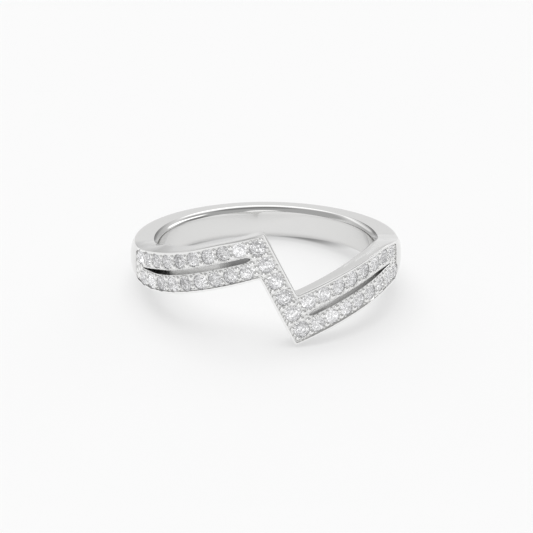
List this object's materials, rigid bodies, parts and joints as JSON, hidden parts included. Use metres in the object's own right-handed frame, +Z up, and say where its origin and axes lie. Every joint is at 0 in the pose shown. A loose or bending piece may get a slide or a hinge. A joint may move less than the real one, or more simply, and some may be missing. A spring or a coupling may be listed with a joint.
{
  "type": "bypass ring",
  "caption": "Finger ring whose shank swings up one side and down the other, joined in front by a slanting bar, with split arms set with small round brilliants.",
  "frame": {"origin": "middle of the ring's outer box, on the surface that it lies on", "axes": "+X across the ring from the raised arm to the lowered arm, -Y out of the set front, +Z up from the surface; the finger hole leans 9.2 degrees back from +Z"},
  "size_m": [0.0216, 0.021, 0.009],
  "materials": {
    "white_gold": "high polish",
    "clear_stone": "cut and polished"
  },
  "bodies": {
    "root": {"ring_band": "white_gold", "bar_stone_1": "clear_stone", "bar_stone_2": "clear_stone", "bar_stone_3": "clear_stone", "bar_stone_4": "clear_stone", "bar_stone_5": "clear_stone", "bar_stone_6": "clear_stone", "left_upper_stone_1": "clear_stone", "left_upper_stone_2": "clear_stone", "left_upper_stone_3": "clear_stone", "left_upper_stone_4": "clear_stone", "left_upper_stone_5": "clear_stone", "left_upper_stone_6": "clear_stone", "left_upper_stone_7": "clear_stone", "left_upper_stone_8": "clear_stone", "left_upper_stone_9": "clear_stone", "left_lower_stone_1": "clear_stone", "left_lower_stone_2": "clear_stone", "left_lower_stone_3": "clear_stone", "left_lower_stone_4": "clear_stone", "left_lower_stone_5": "clear_stone", "left_lower_stone_6": "clear_stone", "left_lower_stone_7": "clear_stone", "left_lower_stone_8": "clear_stone", "left_lower_stone_9": "clear_stone", "right_upper_stone_1": "clear_stone", "right_upper_stone_2": "clear_stone", "right_upper_stone_3": "clear_stone", "right_upper_stone_4": "clear_stone", "right_upper_stone_5": "clear_stone", "right_upper_stone_6": "clear_stone", "right_upper_stone_7": "clear_stone", "right_upper_stone_8": "clear_stone", "right_lower_stone_1": "clear_stone", "right_lower_stone_2": "clear_stone", "right_lower_stone_3": "clear_stone", "right_lower_stone_4": "clear_stone", "right_lower_stone_5": "clear_stone", "right_lower_stone_6": "clear_stone", "right_lower_stone_7": "clear_stone", "right_lower_stone_8": "clear_stone"}
  },
  "joints": []
}
